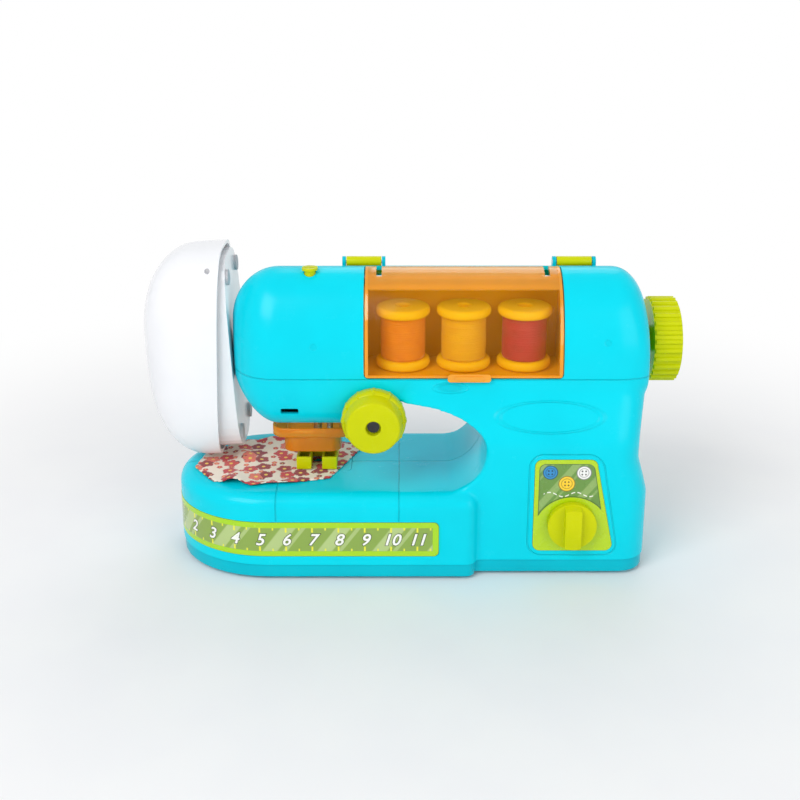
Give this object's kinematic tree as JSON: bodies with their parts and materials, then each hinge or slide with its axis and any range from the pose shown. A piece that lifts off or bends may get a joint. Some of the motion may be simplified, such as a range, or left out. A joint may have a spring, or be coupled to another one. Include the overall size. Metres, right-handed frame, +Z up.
{
  "type": "toy sewing machine",
  "caption": "Child's sewing machine with a hinged window over thread spools, a tension knob, stitch dial, handwheel, folding handle and a separate foot pedal.",
  "frame": {"origin": "on the table plane at the middle of the base, on the plane where the front and rear shells meet", "axes": "+Z up, front towards -Y, handwheel towards +X"},
  "size_m": [0.3107, 0.1001, 0.1824],
  "materials": {
    "turquoise": "glossy injection moulding",
    "turquoise_base": "glossy injection moulding",
    "lime": "glossy injection moulding",
    "amber": "clear tinted plastic",
    "amber_solid": "glossy injection moulding",
    "yellow": "glossy injection moulding",
    "white": "satin injection moulding",
    "label": "printed film",
    "steel": "bright steel",
    "grey_plastic": "satin moulding",
    "black_plastic": "satin moulding",
    "rubber": "matt rubber",
    "orange_thread": "wound sewing thread",
    "yellow_thread": "wound sewing thread",
    "red_thread": "wound sewing thread",
    "cloth": "printed cotton"
  },
  "bodies": {
    "machine": {"front_shell": "turquoise", "rear_shell": "turquoise", "base_plate": "turquoise_base", "rubber_feet": "rubber", "battery_door": "turquoise_base", "door_screw": "steel", "battery_box": "black_plastic", "battery_contacts": "steel", "case_screws": "steel", "spool_tray": "yellow", "spool_posts": "yellow", "ruler_plate": "label", "label_plate": "label", "thread_guide": "lime", "needle_plate": "steel", "needle_guard": "amber", "needle_frame": "grey_plastic", "left_bush": "grey_plastic", "right_bush": "black_plastic", "drive_belt": "rubber", "motor": "steel", "motor_mount": "black_plastic", "tension_post": "steel", "knob_screw": "steel", "dial_switch": "black_plastic", "lid_pin": "steel", "handle_brackets": "turquoise", "handle_pins": "steel", "sample_cloth": "cloth"},
    "lid": {"spool_lid": "amber"},
    "left_spool": {"spool_left": "yellow", "yarn_left": "orange_thread"},
    "middle_spool": {"spool_middle": "yellow", "yarn_middle": "yellow_thread"},
    "right_spool": {"spool_right": "yellow", "yarn_right": "red_thread"},
    "wheel": {"handwheel": "lime", "wheel_screw": "steel", "main_shaft": "steel", "crank_disc": "grey_plastic", "main_pulley": "black_plastic"},
    "rotor": {"motor_pulley": "black_plastic"},
    "needle_carrier": {"needle_bar": "steel", "needle_clamp": "grey_plastic", "needle": "steel"},
    "rod": {"conrod": "grey_plastic"},
    "presser": {"presser_foot": "lime", "presser_bar": "steel"},
    "lifter": {"presser_lifter": "amber_solid"},
    "knob": {"tension_knob": "lime"},
    "dial": {"stitch_dial": "lime"},
    "handle": {"carry_handle": "lime"},
    "pedal": {"pedal_base": "white", "pedal_pin": "steel", "pedal_spring": "steel", "pedal_switch": "black_plastic", "pedal_feet": "rubber"},
    "treadle": {"pedal_treadle": "white"}
  },
  "joints": [
    {"name": "lid_open", "type": "hinge", "parent": "machine", "child": "lid", "pos_m": [0.03, -0.003, 0.1665], "axis": [-1, 0, 0], "range_deg": [0, 100]},
    {"name": "left_spool_spin", "type": "hinge", "parent": "machine", "child": "left_spool", "pos_m": [-0.0037, -0.005, 0.13], "axis": [0, 0, 1], "continuous": true},
    {"name": "middle_spool_spin", "type": "hinge", "parent": "machine", "child": "middle_spool", "pos_m": [0.031, -0.005, 0.13], "axis": [0, 0, 1], "continuous": true},
    {"name": "right_spool_spin", "type": "hinge", "parent": "machine", "child": "right_spool", "pos_m": [0.0657, -0.005, 0.13], "axis": [0, 0, 1], "continuous": true},
    {"name": "wheel_spin", "type": "hinge", "parent": "machine", "child": "wheel", "pos_m": [0.148, 0.016, 0.124], "axis": [1, 0, 0], "continuous": true},
    {"name": "motor_spin", "type": "hinge", "parent": "machine", "child": "rotor", "pos_m": [0.102, 0.016, 0.062], "axis": [1, 0, 0], "continuous": true},
    {"name": "needle_slide", "type": "slide", "parent": "machine", "child": "needle_carrier", "axis": [0, 0, 1], "range_m": [-0.01, 0]},
    {"name": "rod_swing", "type": "hinge", "parent": "needle_carrier", "child": "rod", "pos_m": [-0.0515, 0.016, 0.1016], "axis": [1, 0, 0], "range_deg": [-15, 15]},
    {"name": "presser_lift", "type": "slide", "parent": "machine", "child": "presser", "axis": [0, 0, 1], "range_m": [0, 0.005]},
    {"name": "lifter_turn", "type": "hinge", "parent": "machine", "child": "lifter", "pos_m": [-0.072, 0.0316, 0.097], "axis": [0, -1, 0], "range_deg": [0, 50]},
    {"name": "knob_turn", "type": "hinge", "parent": "machine", "child": "knob", "pos_m": [-0.02, -0.04, 0.093], "axis": [0, -1, 0], "continuous": true},
    {"name": "dial_turn", "type": "hinge", "parent": "machine", "child": "dial", "pos_m": [0.0915, -0.047, 0.033], "axis": [0, -1, 0], "range_deg": [0, 90]},
    {"name": "handle_fold", "type": "hinge", "parent": "machine", "child": "handle", "pos_m": [0.0343, 0.012, 0.172], "axis": [1, 0, 0], "range_deg": [0, 128]},
    {"name": "pedal_lift", "type": "slide", "parent": "machine", "child": "pedal", "axis": [-0.7071, 0, 0.7071], "range_m": [0, 0.06]},
    {"name": "treadle_press", "type": "hinge", "parent": "pedal", "child": "treadle", "pos_m": [-0.11298, 0.014, 0.17206], "axis": [0, -1, 0], "range_deg": [0, 6], "stiffness_Nm_per_rad": 0.6}
  ],
  "couplings": [
    {"joint": "motor_spin", "follows": "wheel_spin", "ratio": 2.2},
    {"joint": "presser_lift", "follows": "lifter_turn", "m_per_rad": 0.0057296}
  ]
}
